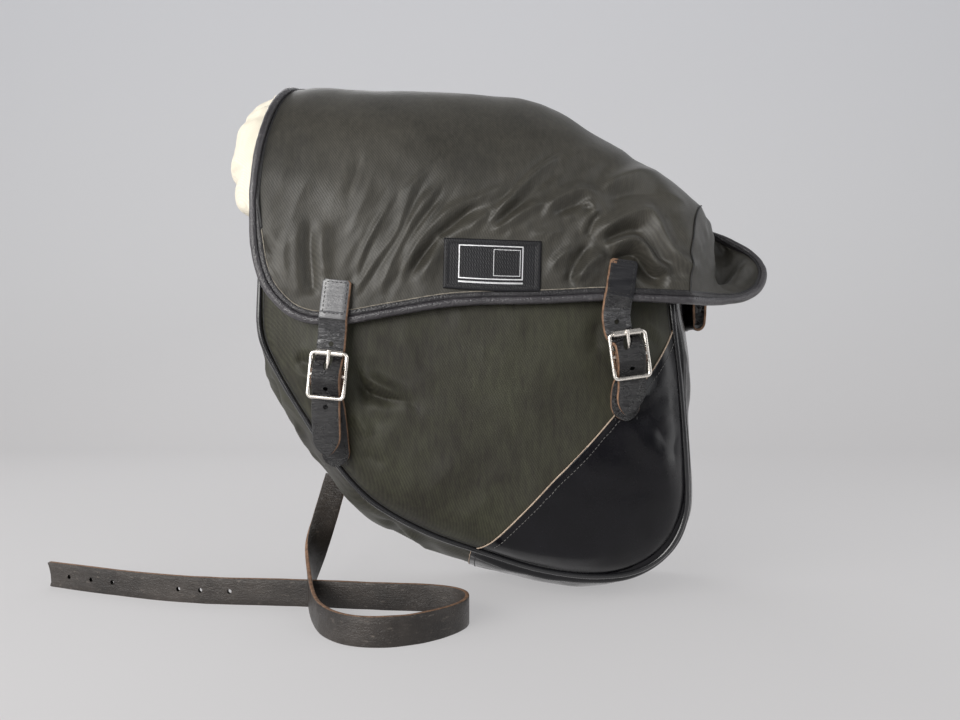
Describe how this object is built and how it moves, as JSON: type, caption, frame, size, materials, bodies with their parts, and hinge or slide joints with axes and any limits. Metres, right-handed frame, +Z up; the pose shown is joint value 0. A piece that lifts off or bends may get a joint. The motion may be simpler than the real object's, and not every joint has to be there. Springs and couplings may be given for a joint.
{
  "type": "saddle bag",
  "caption": "Cloth and leather cycle pannier with a domed front, a broad overhanging flap held by roller-buckle straps, a puffed cream lining and a loose carrier strap.",
  "frame": {"origin": "on the flat back, level with the middle of the body, 150 mm above the bag's lowest edge", "axes": "+X to the right seen from the front, +Y out of the back, the front faces -Y, +Z up"},
  "size_m": [0.5688, 0.2015, 0.3994],
  "materials": {
    "cloth": "dark olive twill with a slight sheen",
    "black_leather": "smooth black, rubbed at the edges",
    "strap_leather": "worn black with brown cut edges",
    "lining": "soft cream cloth",
    "nickel": "worn nickel plate",
    "silver_print": "thin silver rule",
    "board": "fibre board"
  },
  "bodies": {
    "bag": {"anchor_rivet": "nickel", "back_panel": "cloth", "back_piping": "black_leather", "back_stiffener": "board", "back_yoke": "black_leather", "bottom_gusset": "black_leather", "carrier_strap": "strap_leather", "corner_patch": "black_leather", "front_panel": "cloth", "front_piping": "black_leather", "left_chape": "strap_leather", "left_gusset": "cloth", "liner_back": "lining", "liner_band": "lining", "liner_front": "lining", "liner_left_back": "lining", "liner_left_front": "lining", "liner_right": "lining", "rack_loop": "strap_leather", "rack_rivet_1": "nickel", "rack_rivet_2": "nickel", "right_chape": "strap_leather", "right_gusset": "cloth", "strap_anchor": "black_leather"},
    "flap": {"flap_panel": "cloth", "flap_ear": "cloth", "flap_binding": "black_leather", "label_patch": "black_leather", "label_rule": "silver_print", "left_billet": "strap_leather", "right_billet": "strap_leather"},
    "left_buckle": {"left_buckle_frame": "nickel"},
    "left_roller": {"left_roller": "nickel"},
    "left_prong": {"left_prong": "nickel"},
    "right_buckle": {"right_buckle_frame": "nickel"},
    "right_roller": {"right_roller": "nickel"},
    "right_prong": {"right_prong": "nickel"}
  },
  "joints": [
    {"name": "flap_lift", "type": "hinge", "parent": "bag", "child": "flap", "pos_m": [0, 0, 0.15], "axis": [-1, 0, 0], "range_deg": [0, 140], "deforming": ["left_billet", "right_billet"]},
    {"name": "left_buckle_swing", "type": "hinge", "parent": "bag", "child": "left_buckle", "pos_m": [-0.1055, -0.152, 0.0225], "axis": [0.9954, 0, -0.0958], "range_deg": [-12, 12], "deforming": ["left_billet"]},
    {"name": "left_prong_swing", "type": "hinge", "parent": "left_buckle", "child": "left_prong", "pos_m": [-0.1055, -0.152, 0.0225], "axis": [0.9954, 0, -0.0958], "range_deg": [0, 95], "deforming": ["left_billet"]},
    {"name": "left_roller_spin", "type": "hinge", "parent": "left_buckle", "child": "left_roller", "pos_m": [-0.10401, -0.152, 0.03793], "axis": [0.9954, 0, -0.0958], "continuous": true},
    {"name": "right_buckle_swing", "type": "hinge", "parent": "bag", "child": "right_buckle", "pos_m": [0.1035, -0.152, 0.0365], "axis": [0.9903, 0, 0.1392], "range_deg": [-12, 12], "deforming": ["right_billet"]},
    {"name": "right_prong_swing", "type": "hinge", "parent": "right_buckle", "child": "right_prong", "pos_m": [0.1035, -0.152, 0.0365], "axis": [0.9903, 0, 0.1392], "range_deg": [0, 95], "deforming": ["right_billet"]},
    {"name": "right_roller_spin", "type": "hinge", "parent": "right_buckle", "child": "right_roller", "pos_m": [0.10134, -0.152, 0.05185], "axis": [0.9903, 0, 0.1392], "continuous": true}
  ]
}
